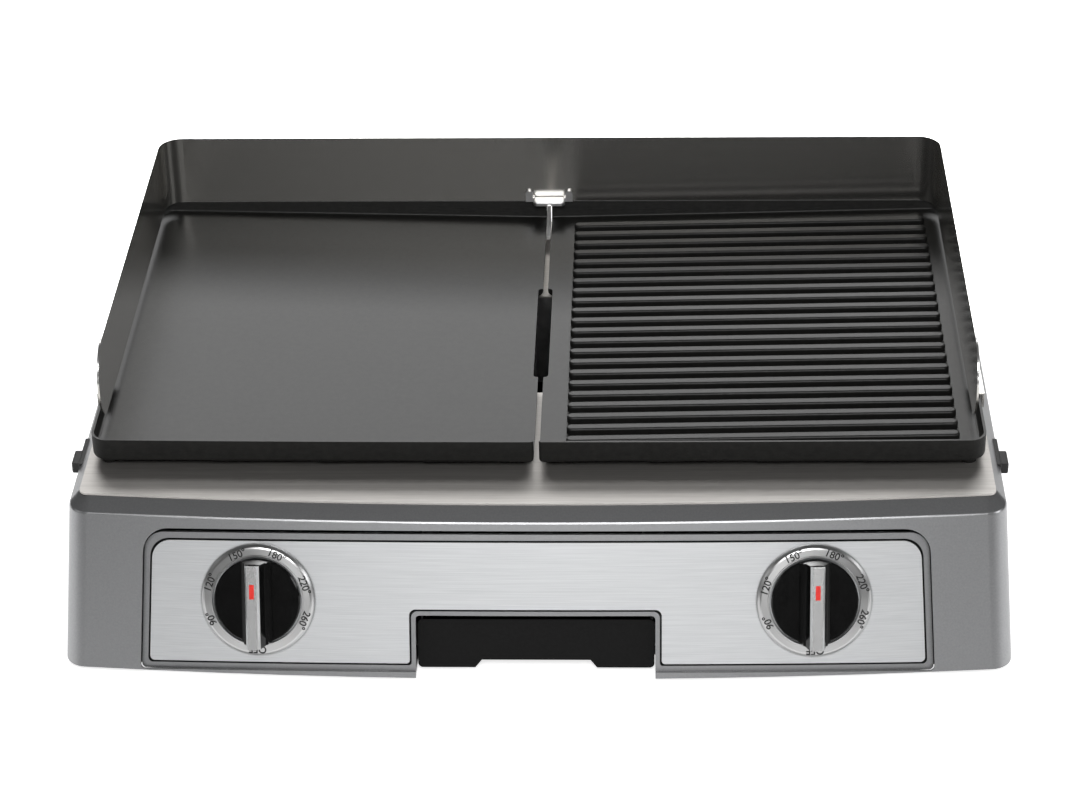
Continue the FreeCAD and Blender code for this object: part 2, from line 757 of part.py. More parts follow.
def knob(name, side):
    body = new_body("knob_" + name)
    sketch = new_sketch(body, "XZ_Plane")
    foot = "(%s + knob_gap + 1.4)" % PANEL_FACE
    top = "(knob_disc - 2.6)"
    polygon(sketch, [("0", foot + " + 1.6"), ("9", foot + " + 1.6"), ("9", foot + " + 0.6"),
                     ("knob_radius - 3", foot), ("knob_radius", foot), ("knob_radius", top + " - 1"),
                     ("knob_radius - 1", top), ("0", top)])
    revolve(body, sketch)
    grip = new_sketch(body, "XZ_Plane")
    polygon(grip, [("-grip_width / 2 - 2.4", top + " - 0.5"), ("grip_width / 2 + 2.4", top + " - 0.5"),
                   ("grip_width / 2 + 1.6", top + " + 1.6"), ("grip_width / 2 + 0.4", top + " + 2"),
                   ("grip_width / 2", top + " + 6"), ("grip_width / 2 - 1", top + " + 6.4"),
                   ("grip_top_width / 2", top + " + grip_rise"),
                   ("-grip_top_width / 2", top + " + grip_rise"),
                   ("1 - grip_width / 2", top + " + 6.4"), ("-grip_width / 2", top + " + 6"),
                   ("-grip_width / 2 - 0.4", top + " + 2"), ("-grip_width / 2 - 1.6", top + " + 1.6")])
    bar = pad(body, grip, "bar_length", name="grip")
    bar.Midplane = True
    doc.recompute()
    trim = new_sketch(body, height="-10")
    circle(trim, "knob_radius - 0.2")
    circle(trim, "knob_radius + 12")
    pocket(body, trim, "60", backwards=True, name="trim")
    bore = new_sketch(body, height="-10")
    circle(bore, "shaft_radius + 0.03")
    pocket(body, bore, "shaft_length_out + 10", backwards=True, name="bore")
    place_control(body, side)


def knob_bar(name, side):
    body = new_body("knob_bar_" + name)
    sketch = new_sketch(body, "XZ_Plane")
    low = "(knob_disc - 2.6 + grip_rise)"
    polygon(sketch, [("-grip_top_width / 2", low), ("grip_top_width / 2", low),
                     ("grip_top_width / 2", low + " + 1.2"), ("bar_width / 2", low + " + 3.4"),
                     ("-bar_width / 2", low + " + 3.4"), ("-grip_top_width / 2", low + " + 1.2")])
    bar = pad(body, sketch, "bar_length - 1.4", name="top")
    bar.Midplane = True
    doc.recompute()
    place_control(body, side)


def knob_mark(name, side):
    body = new_body("knob_mark_" + name)
    sketch = new_sketch(body, height="knob_disc - 2.6 + grip_rise + 3.4")
    rectangle(sketch, "-1.5", "1.5", "5.8", "14.8")
    pad(body, sketch, "0.15")
    place_control(body, side)


def thermostat(name, side):
    body = new_body("thermostat_" + name)
    sketch = new_sketch(body, height="-recess_depth - panel_sheet - 29")
    rectangle(sketch, "-17", "17", "-14", "16")
    case = pad(body, sketch, "26", name="case")
    fillet(body, case, "2", is_upright)
    neck = new_sketch(body, height="-recess_depth - panel_sheet - 4")
    circle(neck, "5")
    pad(body, neck, "recess_depth + panel_sheet + 4 + 1.2", name="neck")
    bore = new_sketch(body, height="-recess_depth - panel_sheet - 22")
    circle(bore, "shaft_radius + shaft_fit")
    pocket(body, bore, "60", backwards=True, name="bore")
    place_control(body, side)


def thermostat_shaft(name, side):
    body = new_body("thermostat_shaft_" + name)
    sketch = new_sketch(body, height="-recess_depth - panel_sheet - 20")
    circle(sketch, "shaft_radius")
    pad(body, sketch, "recess_depth + panel_sheet + 20 + shaft_length_out")
    place_control(body, side)


def shaft_nut(name, side):
    body = new_body("shaft_nut_" + name)
    sketch = new_sketch(body, height=PANEL_FACE + " + 0.05")
    corners = [("7.5 * cos(%d deg)" % angle, "7.5 * sin(%d deg)" % angle) for angle in range(0, 360, 60)]
    polygon(sketch, corners)
    circle(sketch, "5.05")
    pad(body, sketch, "2")
    place_control(body, side)


for knob_name, knob_side in (("left", -1), ("right", 1)):
    dial_ring(knob_name, knob_side)
    knob(knob_name, knob_side)
    knob_bar(knob_name, knob_side)
    knob_mark(knob_name, knob_side)
    thermostat(knob_name, knob_side)
    thermostat_shaft(knob_name, knob_side)
    shaft_nut(knob_name, knob_side)


# ---------------------------------------------------------------- release buttons
def release_button():
    outer = value("body_width / 2 - side_flare + button_proud")
    start = PLATE_FRONT + value("button_start")
    end = start + value("button_length")
    low = value("button_low")
    high = low + value("button_height")
    inner = value(LUG_X) + 7.8
    head = box(inner, outer, start, end, low, high)
    head = fillet_edges(head, 1.2, lambda e: e.BoundBox.XMin > outer - 0.01)
    flange = box(inner, inner + 2.2, start - 2, spring_spot().y + 4, low - 2.5, high)
    return head.fuse(flange)


def button_escutcheon():
    x0, x1, y0, y1, z0, z1 = escutcheon_box()
    fit = value("button_fit")
    start = PLATE_FRONT + value("button_start")
    low = value("button_low")
    frame = box(x0, x1, y0, y1, z0, z1)
    frame = fillet_edges(frame, 0.8, lambda e: e.BoundBox.XMin > x1 - 0.01)
    frame = frame.fuse(box(x0 - 0.6, x0 + 1.2, y0 - 3, y1 + 3, z0 - 3, FASCIA_TOP - 2))
    return frame.cut(box(x0 - 5, x1 + 5, start - fit, start + value("button_length") + fit,
                         low - fit, low + value("button_height") + fit))


def latch():
    """A sheet frame behind the button whose tongue reaches around the plate's lug."""
    x0, x1, y0, y1 = lug_box()[:4]
    low = value("button_low") + 2
    tongue = x0 - 2.4
    frame = box(tongue, x1 + 5.25, y0 - 3.3, y1 + 3.3, low, low + 1.5)
    return frame.cut(box(x0 - 0.4, x1 + 4, y0 - 1.3, y1 + 1.3, low - 1, low + 3))


def button_spring():
    spot = spring_spot()
    length = value(LUG_X) + 7.8 - spot.x
    wire_radius = 0.35
    coil_radius = 2.6
    turns = 6
    height = length - 2 * wire_radius - 0.1
    helix = Part.makeHelix(height / turns, height, coil_radius)
    start = Part.Wire(Part.makeCircle(wire_radius, V(coil_radius, 0, 0), Y_AXIS))
    coil = Part.Wire(helix).makePipeShell([start], True, True)
    coil.Placement = FreeCAD.Placement(spot + V(wire_radius + 0.05, 0, 0), FreeCAD.Rotation(Y_AXIS, 90))
    return coil


for label, maker in (("release_button", release_button), ("button_escutcheon", button_escutcheon),
                     ("latch", latch), ("button_spring", button_spring)):
    shape = maker()
    solid_part(label + "_right", shape)
    solid_part(label + "_left", mirrored(shape))


# ---------------------------------------------------------------- drip tray
def tray_face_spot(height):
    """Where the tray's leaning face stands at one height over the floor."""
    setback = value("tray_setback")
    up = (height - FOOT + setback * math.sin(LEAN)) / math.cos(LEAN)
    return FASCIA_FOOT + SLOPE_UP * up - OUTWARD * setback


def side_prism(points, half):
    """A prism across the griddle from a side-view outline of (y, z) points."""
    corners = [V(-half, y, z) for y, z in points]
    return Part.Face(Part.makePolygon(corners + [corners[0]])).extrude(V(2 * half, 0, 0))


def drip_tray():
    low = value("tray_bottom")
    high = low + value("tray_wall_height")
    skin = value("tray_sheet")
    back = value("tray_back")
    half = value("tray_half_width - 3")
    face_low = tray_face_spot(low).y
    face_high = tray_face_spot(high).y
    step = face_high + 8
    basin = side_prism([(face_low, low), (back, low), (back, high), (face_high, high)], half)
    basin = fillet_edges(basin, 6, lambda e: is_upright(e) and e.Vertexes[0].Y > back - 1)
    basin = fillet_edges(basin, 1.5, lambda e: on_height(e, low) and e.BoundBox.YMax > 0)
    inner_front = face_low + skin / math.cos(LEAN)
    inner_top = tray_face_spot(high + 5).y + skin / math.cos(LEAN)
    inner_step = tray_face_spot(low + 6.5).y + skin / math.cos(LEAN)
    cavity = side_prism([(step, low + skin), (back - skin, low + skin), (back - skin, high + 5),
                         (inner_top, high + 5), (inner_step, low + 6.5), (step, low + 6.5)], half - skin)
    cavity = fillet_edges(cavity, 4, lambda e: is_upright(e) and e.Vertexes[0].Y > back - 3)
    deep = side_prism([(inner_front + 1, low + skin), (step + 1, low + skin), (step + 1, low + 7),
                       (inner_step, low + 7)], half - skin)
    deep = deep.cut(box(-40.5, 40.5, -300, 0, 0, 50))
    cavity = cavity.fuse(deep)
    wide = value("tray_half_width")
    foot = value("tray_face_low")
    foot_slope = (foot - FOOT) / math.cos(LEAN) + value("tray_setback") * math.tan(LEAN)
    top_slope = value("tray_top_slope")
    face = rounded_prism([(-wide, foot_slope), (wide, foot_slope), (wide, top_slope), (-wide, top_slope)],
                         [3, 3, 3, 3], -value("tray_setback") - skin, -value("tray_setback"))
    tray = basin.cut(cavity).fuse(to_fascia(face)).cut(box(-100, 100, -300, 300, 0, foot))
    notch_top = foot + value("finger_notch")
    corners = ((-38.5, foot - 1), (38.5, foot - 1), (33.5, notch_top), (-33.5, notch_top))
    notch = [V(x, step, z) for x, z in corners]
    pocket_form = Part.Face(Part.makePolygon(notch + [notch[0]])).extrude(V(0, -40, 0))
    return tray.cut(pocket_form)


def tray_rail():
    """A bent rail on the base that guides the tray's right wall."""
    gap = value("tray_clearance")
    half = value("tray_half_width - 3") + gap
    floor = FOOT + value("base_sheet")
    top = value("tray_bottom + tray_wall_height") + gap
    front = tray_face_spot(top).y + 10
    back = value("tray_back")
    web = box(half, half + 1.2, front, back, floor, top + 1.2)
    foot = box(half, half + 9, front, back, floor, floor + 1.2)
    lip = box(half - 5, half + 1.2, front, back, top, top + 1.2)
    return web.fuse([foot, lip])


def drip_chute():
    """The sheet duct that carries fat from the deck's slot down to the tray."""
    half = value(DRAIN_HALF) + 0.2
    front = value(DRAIN_FRONT) - 0.2
    back = value(DRAIN_BACK) + 0.2
    sheet_size = value("pan_sheet")
    low = value("tray_bottom + tray_wall_height") + 7
    outer = box(-half - sheet_size, half + sheet_size, front - sheet_size, back + sheet_size, low, SHELL_TOP)
    flange = box(-half - 2.3, half + 2.3, front - 3, back + 3, SHELL_TOP - sheet_size, SHELL_TOP)
    return outer.fuse(flange).cut(box(-half, half, front, back, low - 1, SHELL_TOP + 1))


solid_part("drip_tray", drip_tray())
solid_part("tray_rail_right", tray_rail())
solid_part("tray_rail_left", mirrored(tray_rail()))
solid_part("drip_chute", drip_chute())


# ---------------------------------------------------------------- base, feet and screws
FEET = [(sx * value("body_width / 2 - 28"), y)
        for sx in (-1, 1) for y in (value("body_front") + 41, value("body_back") - 35)]


def base_pan():
    inset = WALL + 0.4
    sheet_size = value("base_sheet")
    slab = box(-400, 400, -400, 400, FOOT, FOOT + sheet_size)
    pan = housing_form(inset).common(slab)
    tray_half = value("tray_half_width")
    front = value("body_front")
    mouth = value("opening_half_width")
    corners = [V(x, y, FOOT - 1) for x, y in
               ((-mouth, front - 5), (mouth, front - 5), (mouth, front + 25), (tray_half - 8, front + 38),
                (tray_half - 8, front + 300), (8 - tray_half, front + 300), (8 - tray_half, front + 38),
                (-mouth, front + 25))]
    pan = pan.cut(Part.Face(Part.makePolygon(corners + [corners[0]])).extrude(V(0, 0, 10)))
    for x, y in BOSSES:
        pan = pan.cut(cylinder(value("screw_radius") + 0.2, 10, V(x, y, FOOT - 1)))
    pan = pan.cut(bowed_slab(-20, value("recess_depth + panel_sheet") + 2.6))
    for x, y in FEET:
        pan = pan.cut(cylinder(3, 10, V(x, y, FOOT - 1)))
    stop = box(-20, 20, value("tray_back") + 1, value("tray_back") + 2.2, FOOT, FOOT + 20)
    return pan.fuse(stop)


def foot(x, y):
    pad_form = Part.makeCone(8, 9, 3.5, V(x, y, 0)).fuse(cylinder(9, FOOT - 3.5, V(x, y, 3.5)))
    flare = Part.makeCone(4, 2.9, 1.5, V(x, y, FOOT + value("base_sheet")))
    stem = cylinder(2.9, 4, V(x, y, FOOT - 0.5)).fuse(flare)
    return pad_form.fuse(stem)


def base_screw(x, y):
    head = Part.makeCone(2.6, 3.8, 1.6, V(x, y, FOOT - 1.6))
    slot_form = box(x - 0.5, x + 0.5, y - 4, y + 4, FOOT - 2, FOOT - 0.8)
    shank = cylinder(value("screw_radius"), 14, V(x, y, FOOT - 0.1))
    return head.fuse(shank).cut([slot_form, box(x - 4, x + 4, y - 0.5, y + 0.5, FOOT - 2, FOOT - 0.8)])


solid_part("base_pan", base_pan())
solid_part("feet", Part.makeCompound([foot(x, y) for x, y in FEET]))
solid_part("base_screws", Part.makeCompound([base_screw(x, y) for x, y in BOSSES]))


# ---------------------------------------------------------------- heaters
def rounded_path(points, radius):
    """A wire through points with its turns rounded."""
    edges = []
    start = points[0]
    for i in range(1, len(points) - 1):
        before = (points[i - 1] - points[i]).normalize()
        after = (points[i + 1] - points[i]).normalize()
        corner = points[i]
        bend_in = corner + before * radius
        bend_out = corner + after * radius
        middle = corner + (before + after).normalize() * radius * (math.sqrt(2) - 1)
        edges.append(Part.makeLine(start, bend_in))
        edges.append(Part.Arc(bend_in, middle, bend_out).toShape())
        start = bend_out
    edges.append(Part.makeLine(start, points[-1]))
    return Part.Wire(edges)


def tube(points, bend, radius):
    path = rounded_path(points, bend)
    section = Part.Wire(Part.makeCircle(radius, points[0], points[1] - points[0]))
    return path.makePipeShell([section], True, False)


ZONE_MIDDLE = value("(%s + %s) / 2" % (ZONE_INNER, ZONE_OUTER))
ELEMENT_HALF = value("(%s - %s) / 2 - 33" % (ZONE_OUTER, ZONE_INNER))
LEAD_HALF = 14.0


def heating_element():
    """A tubular element: a loop with both ends out through the pan's front."""
    height = value("element_height")
    front = value(ZONE_FRONT)
    back = value(ZONE_BACK) - 32
    left, right = ZONE_MIDDLE - ELEMENT_HALF, ZONE_MIDDLE + ELEMENT_HALF
    spots = [(ZONE_MIDDLE - LEAD_HALF, front - 12), (ZONE_MIDDLE - LEAD_HALF, front + 32), (left, front + 32),
             (left, back), (right, back), (right, front + 32), (ZONE_MIDDLE + LEAD_HALF, front + 32),
             (ZONE_MIDDLE + LEAD_HALF, front - 12)]
    return tube([V(x, y, height) for x, y in spots], 12, value("element_radius"))


def reflector_pan():
    skin = value("pan_sheet")
    left, right = value(ZONE_INNER) + 0.5, value(ZONE_OUTER) - 0.5
    front, back = value(ZONE_FRONT) + 0.5, value(ZONE_BACK) - 0.5
    low = SHELL_TOP - value("pan_depth")
    corners = [(left, front), (right, front), (right, back), (left, back)]
    outer = rounded_prism(corners, [8] * 4, low, SHELL_TOP)
    inner = rounded_prism([(left + skin, front + skin), (right - skin, front + skin),
                           (right - skin, back - skin), (left + skin, back - skin)],
                          [8 - skin] * 4, low + skin, SHELL_TOP + 1)
    flange = box(left - 1.5, right + 1.5, front - 3, back + 3, SHELL_TOP - skin, SHELL_TOP)
    pan = outer.fuse(flange).cut(inner)
    for side in (-1, 1):
        pan = pan.cut(cylinder(value("element_radius") + 0.4, 30,
                               V(ZONE_MIDDLE + side * LEAD_HALF, front - 15,
                                 value("element_height")), Y_AXIS))
    return pan


def element_bracket():
    """A sheet stay across the pan with holes for the element."""
    skin = 1.0
    y = value(ZONE_BACK) - 110
    low = SHELL_TOP - value("pan_depth") + value("pan_sheet")
    height = value("element_height")
    web = box(ZONE_MIDDLE - ELEMENT_HALF - 9, ZONE_MIDDLE + ELEMENT_HALF + 9, y, y + skin, low, height + 8)
    reach = ELEMENT_HALF + 9
    shape = web.fuse(box(ZONE_MIDDLE - reach, ZONE_MIDDLE + reach, y, y + 9, low, low + skin))
    for side in (-1, 1):
        shape = shape.cut(cylinder(value("element_radius") + 0.3, 30,
                                   V(ZONE_MIDDLE + side * ELEMENT_HALF, y - 10, height), Y_AXIS))
    inner = ELEMENT_HALF - 14
    return shape.cut(box(ZONE_MIDDLE - inner, ZONE_MIDDLE + inner, y - 1, y + skin + 1,
                         height - 16, height + 9))


for label, maker in (("heating_element", heating_element), ("reflector_pan", reflector_pan),
                     ("element_bracket", element_bracket)):
    shape = maker()
    solid_part(label + "_right", shape)
    solid_part(label + "_left", mirrored(shape))


# ---------------------------------------------------------------- wiring
def cord_gland():
    """The bush in the back wall where the supply cord comes in."""
    x, z = value("cord_x"), value("cord_height")
    back = value("body_back") - (z - FOOT) * value("side_flare / fascia_rise")
    end = value("body_back") + 2.8
    lean_gap = 0.8
    sleeve = cylinder(value("cord_hole") - 0.1, 12, V(x, end - 12.5, z), Y_AXIS)
    collar = cylinder(value("cord_hole") + 4, end - back - lean_gap, V(x, back + lean_gap, z), Y_AXIS)
    collar = fillet_edges(collar, 1.2, lambda e: e.BoundBox.YMin > end - 0.1)
    nut = cylinder(value("cord_hole") + 3, 3, V(x, back - WALL - lean_gap - 3, z), Y_AXIS)
    bore = cylinder(3.6, 60, V(x, back - 30, z), Y_AXIS)
    return sleeve.fuse([collar, nut]).cut(bore)


def terminal_block():
    x, y = value("cord_x"), value("body_back") - 52
    floor = FOOT + value("base_sheet")
    block = box(x - 20, x + 20, y - 9, y + 9, floor, floor + 15)
    block = fillet_edges(block, 1, lambda e: e.BoundBox.ZMin > floor + 14.9)
    for i in (-1, 0, 1):
        block = block.cut(cylinder(3, 8, V(x + i * 12.5, y, floor + 9)))
        block = block.cut(cylinder(1.6, 30, V(x + i * 12.5, y - 15, floor + 6), Y_AXIS))
    return block


def wires(side):
    """Two leads from the terminal block to a thermostat's back."""
    block_x, start_y = value("cord_x"), value("body_back") - 61.2
    height = FOOT + value("base_sheet") + 6
    target = knob_spot(side, -value("recess_depth + panel_sheet") - 29.2)
    if side < 0:
        routes = [(block_x - 14, start_y - 22, -5), (block_x - 1.5, start_y - 16, 5)]
    else:
        routes = [(block_x + 14, start_y - 5, 5), (block_x + 1.5, start_y - 9.5, -5)]
    leads = []
    for out_x, run_y, aside in routes:
        run_x = target.x + aside
        spots = [V(out_x, start_y, height), V(out_x, run_y, height), V(run_x, run_y, height),
                 V(run_x, target.y + 25, height), V(run_x, target.y + 25, target.z),
                 V(run_x, target.y + 3, target.z)]
        leads.append(tube(spots, 4, 1.2))
    return Part.makeCompound(leads)


solid_part("cord_gland", cord_gland())
solid_part("terminal_block", terminal_block())
solid_part("wires_left", wires(-1))
solid_part("wires_right", wires(1))

# ---------------------------------------------------------------- checks and export
doc.recompute()
for thing in doc.Objects:
    if "Invalid" in thing.State or "Error" in thing.State:
        raise RuntimeError(thing.Label + ": " + ", ".join(thing.State))
for thing in parts:
    if thing.Shape.isNull() or not thing.Shape.isValid():
        raise RuntimeError(thing.Label + ": its shape isn't valid")
os.makedirs("parts", exist_ok=True)
for thing in parts:
    thing.Shape.exportStep("parts/" + thing.Label + ".step")
print(len(parts), "sub-parts written")
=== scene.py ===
import json
import math
import bpy
from mathutils import Matrix, Vector


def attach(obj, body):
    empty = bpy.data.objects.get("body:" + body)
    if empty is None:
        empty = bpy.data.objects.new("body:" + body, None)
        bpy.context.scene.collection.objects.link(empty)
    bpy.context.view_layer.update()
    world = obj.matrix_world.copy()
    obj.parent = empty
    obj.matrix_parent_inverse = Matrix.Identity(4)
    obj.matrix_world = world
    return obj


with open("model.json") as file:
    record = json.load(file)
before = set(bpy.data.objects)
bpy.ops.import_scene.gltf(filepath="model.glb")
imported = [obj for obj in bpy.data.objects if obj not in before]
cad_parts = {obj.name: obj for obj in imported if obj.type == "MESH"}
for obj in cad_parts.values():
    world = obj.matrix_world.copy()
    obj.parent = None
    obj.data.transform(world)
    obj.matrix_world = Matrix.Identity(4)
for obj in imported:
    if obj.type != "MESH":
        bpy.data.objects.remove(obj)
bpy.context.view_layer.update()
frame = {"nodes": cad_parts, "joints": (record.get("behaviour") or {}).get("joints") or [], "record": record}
NODES = frame["nodes"]
SIDES = ("left", "right")


def joint(name):
    return next(j for j in frame["joints"] if j["name"] == name)


# ---------------------------------------------------------------- materials
def new_material(name):
    """A material with its Principled shader, plus short helpers to add and link nodes."""
    material = bpy.data.materials.new(name)
    material.use_nodes = True
    tree = material.node_tree
    shader = tree.nodes["Principled BSDF"]
    return material, tree, shader


def add(tree, kind, **settings):
    node = tree.nodes.new(kind)
    for key, setting in settings.items():
        if key in node.inputs:
            node.inputs[key].default_value = setting
        else:
            setattr(node, key, setting)
    return node


def object_coords(tree, scale=(1, 1, 1)):
    coords = add(tree, "ShaderNodeTexCoord")
    mapping = add(tree, "ShaderNodeMapping")
    mapping.inputs["Scale"].default_value = scale
    tree.links.new(coords.outputs["Object"], mapping.inputs["Vector"])
    return mapping.outputs["Vector"]


def noise(tree, vector, scale, detail=3.0, roughness=0.55):
    node = add(tree, "ShaderNodeTexNoise", Scale=scale, Detail=detail, Roughness=roughness)
    tree.links.new(vector, node.inputs["Vector"])
    return node.outputs["Fac"]


def spread(tree, fac, low, high, start=0.3, end=0.7):
    """Maps a noise value onto a range of numbers."""
    node = add(tree, "ShaderNodeMapRange")
    for key, setting in (("From Min", start), ("From Max", end), ("To Min", low), ("To Max", high)):
        node.inputs[key].default_value = setting
    tree.links.new(fac, node.inputs["Value"])
    return node.outputs["Result"]


def blend_colours(tree, fac, dark, light):
    node = add(tree, "ShaderNodeMix", data_type="RGBA")
    node.inputs["A"].default_value = (*dark, 1)
    node.inputs["B"].default_value = (*light, 1)
    tree.links.new(fac, node.inputs["Factor"])
    return node.outputs["Result"]


def bump(tree, shader, height, strength, distance):
    node = add(tree, "ShaderNodeBump")
    node.inputs["Strength"].default_value = strength
    node.inputs["Distance"].default_value = distance
    tree.links.new(height, node.inputs["Height"])
    tree.links.new(node.outputs["Normal"], shader.inputs["Normal"])


def surface(name, dark, light, metallic, rough, grain, bump_size=0.0, stretch=(1, 1, 1), fine=6.0,
            specular=0.5):
    """A surface with mottled colour, uneven roughness and a fine bump, all from noise."""
    material, tree, shader = new_material(name)
    vector = object_coords(tree, stretch)
    fac = noise(tree, vector, grain)
    small = noise(tree, vector, grain * fine, 2.0)
    tree.links.new(blend_colours(tree, spread(tree, fac, 0, 1), dark, light), shader.inputs["Base Color"])
    tree.links.new(spread(tree, small, rough[0], rough[1]), shader.inputs["Roughness"])
    shader.inputs["Metallic"].default_value = metallic
    shader.inputs["Specular IOR Level"].default_value = specular
    if bump_size:
        bump(tree, shader, small, 0.6, bump_size)
    return material


def grey(level):
    return (level, level, level)


def facing_up(tree, start, end):
    """0 on upright faces and 1 on level ones."""
    coords = add(tree, "ShaderNodeTexCoord")
    split = add(tree, "ShaderNodeSeparateXYZ")
    tree.links.new(coords.outputs["Normal"], split.inputs["Vector"])
    return spread(tree, split.outputs["Z"], 0, 1, start, end)


def dull_sides(material, rough, specular, top_specular, grain):
    """Leaves upright faces as cast, rougher and duller than the coated top."""
    tree = material.node_tree
    shader = tree.nodes["Principled BSDF"]
    level = facing_up(tree, 0.2, 0.6)
    for key, side_value in (("Roughness", rough), ("Specular IOR Level", specular)):
        mix = add(tree, "ShaderNodeMix", data_type="FLOAT")
        mix.inputs["A"].default_value = side_value
        if shader.inputs[key].is_linked:
            tree.links.new(shader.inputs[key].links[0].from_socket, mix.inputs["B"])
        else:
            mix.inputs["B"].default_value = top_specular
        tree.links.new(level, mix.inputs["Factor"])
        tree.links.new(mix.outputs["Result"], shader.inputs[key])
    coarse = noise(tree, object_coords(tree, (0.25, 1, 1)), grain, 2.0)
    low = add(tree, "ShaderNodeMath", operation="MULTIPLY")
    tree.links.new(coarse, low.inputs[0])
    keep = add(tree, "ShaderNodeMath", operation="SUBTRACT")
    keep.inputs[0].default_value = 1.0
    tree.links.new(level, keep.inputs[1])
    tree.links.new(keep.outputs["Value"], low.inputs[1])
    bump(tree, shader, low.outputs["Value"], 0.8, 0.0003)


def bare_edge_and_highlight(material, colour, lowest):
    """Painted highlight on the upward-facing cut upper edges above a height, where they catch the light,
    together with the bright bare metal of the cut.
    """
    tree = material.node_tree
    shader = tree.nodes["Principled BSDF"]
    coords = add(tree, "ShaderNodeTexCoord")
    split = add(tree, "ShaderNodeSeparateXYZ")
    tree.links.new(coords.outputs["Object"], split.inputs["Vector"])
    high = spread(tree, split.outputs["Z"], 0, 1, lowest, lowest + 0.002)
    both = add(tree, "ShaderNodeMath", operation="MULTIPLY")
    tree.links.new(facing_up(tree, 0.15, 0.4), both.inputs[0])
    tree.links.new(high, both.inputs[1])
    mix = add(tree, "ShaderNodeMix", data_type="RGBA")
    tree.links.new(shader.inputs["Base Color"].links[0].from_socket, mix.inputs["A"])
    mix.inputs["B"].default_value = (*colour, 1)
    tree.links.new(both.outputs["Value"], mix.inputs["Factor"])
    tree.links.new(mix.outputs["Result"], shader.inputs["Base Color"])


def dished(material, centre, slope):
    """Falls away from a dial's centre like a turned, slightly conical bezel. Both dials share the finish."""
    tree = material.node_tree
    shader = tree.nodes["Principled BSDF"]
    coords = add(tree, "ShaderNodeTexCoord")
    folded = add(tree, "ShaderNodeVectorMath", operation="ABSOLUTE")
    tree.links.new(coords.outputs["Object"], folded.inputs[0])
    reach = add(tree, "ShaderNodeVectorMath", operation="DISTANCE")
    tree.links.new(folded.outputs["Vector"], reach.inputs[0])
    reach.inputs[1].default_value = [abs(part) for part in centre]
    fall = add(tree, "ShaderNodeMath", operation="MULTIPLY")
    tree.links.new(reach.outputs["Value"], fall.inputs[0])
    fall.inputs[1].default_value = -slope
    bump(tree, shader, fall.outputs["Value"], 1.0, 1.0)


def painted_gap_shade(material, reach, shade):
    """Paints shade into a finish inside narrow gaps and along creases, where ambient occlusion finds surfaces
    close in.
    """
    tree = material.node_tree
    shader = tree.nodes["Principled BSDF"]
    near = add(tree, "ShaderNodeAmbientOcclusion", samples=8)
    near.inputs["Distance"].default_value = reach
    mix = add(tree, "ShaderNodeMix", data_type="RGBA")
    mix.inputs["A"].default_value = (shade, shade, shade, 1)
    tree.links.new(shader.inputs["Base Color"].links[0].from_socket, mix.inputs["B"])
    tree.links.new(spread(tree, near.outputs["AO"], 0, 1, 0.35, 0.85), mix.inputs["Factor"])
    tree.links.new(mix.outputs["Result"], shader.inputs["Base Color"])


PAINT = surface("silver_paint", (0.30, 0.302, 0.308), (0.335, 0.338, 0.345), 0.85, (0.30, 0.36), 900, 0.00001,
                fine=3)
# Painted shade in the housing paint's gaps and creases.
painted_gap_shade(PAINT, 0.004, 0.01)
PANEL = surface("brushed_panel", (0.60, 0.61, 0.62), (0.69, 0.70, 0.71), 1.0, (0.34, 0.44), 60, 0.00001,
                (0.35, 8, 30), fine=5)
# Painted shade in the panel's gaps and creases.
painted_gap_shade(PANEL, 0.002, 0.08)
DECK = surface("deck_steel", (0.46, 0.443, 0.425), (0.55, 0.533, 0.51), 1.0, (0.50, 0.60), 40, 0.00001,
               (0.4, 30, 30))
PLATE = surface("nonstick_plate", (0.0075, 0.0075, 0.007), (0.012, 0.0118, 0.011), 0.0, (0.32, 0.42), 260)
dull_sides(PLATE, 0.62, 0.16, 0.28, 900)
GUARD = surface("guard_coat", (0.44, 0.43, 0.405), (0.465, 0.454, 0.43), 0.95, (0.18, 0.22), 120, 0.00001)
# Painted highlight with bare metal on the guard's upward-facing upper edges.
bare_edge_and_highlight(GUARD, (0.85, 0.85, 0.84), 0.1275)
CLIP = surface("clip_steel", grey(0.80), grey(0.92), 1.0, (0.30, 0.40), 150, 0.00001)
CHROME = surface("dial_chrome", grey(0.46), grey(0.50), 1.0, (0.28, 0.31), 30)
dished(CHROME, joint("knob_right_turn")["pos_m"], 0.08)
BAR = surface("bar_chrome", grey(0.70), grey(0.78), 1.0, (0.22, 0.28), 100, 0.00001, (30, 1, 1))
KNOB = surface("knob_black", grey(0.003), grey(0.005), 0.0, (0.12, 0.18), 120, specular=0.25)
RED = surface("mark_red", (0.62, 0.02, 0.015), (0.75, 0.03, 0.02), 0.0, (0.30, 0.36), 300)
BUTTON = surface("button_black", grey(0.006), grey(0.010), 0.0, (0.45, 0.60), 700, 0.00008, specular=0.35)
TRAY = surface("tray_black", grey(0.004), grey(0.006), 0.0, (0.40, 0.50), 500, 0.00004, specular=0.12)
ZINC = surface("inner_steel", grey(0.45), grey(0.60), 1.0, (0.32, 0.45), 120, 0.00002)
SHEATH = surface("element_steel", (0.10, 0.085, 0.07), (0.20, 0.17, 0.15), 0.9, (0.40, 0.55), 90, 0.00002)
PAN = surface("pan_aluminium", grey(0.50), grey(0.66), 1.0, (0.28, 0.42), 70, 0.00003)
BASE = surface("base_steel", grey(0.035), grey(0.050), 0.3, (0.45, 0.58), 160, 0.00004)
RUBBER = surface("foot_rubber", grey(0.012), grey(0.020), 0.0, (0.65, 0.80), 400, 0.00006)
MOULDING = surface("inner_plastic", (0.55, 0.50, 0.40), (0.64, 0.59, 0.48), 0.0, (0.45, 0.55), 150, 0.00003)
SLEEVE = surface("wire_sleeve", grey(0.012), grey(0.02), 0.0, (0.45, 0.6), 200)
GLAND = surface("gland_black", grey(0.012), grey(0.018), 0.0, (0.40, 0.50), 300, 0.00004)
INK = surface("dial_ink", grey(0.004), grey(0.007), 0.0, (0.40, 0.50), 900)

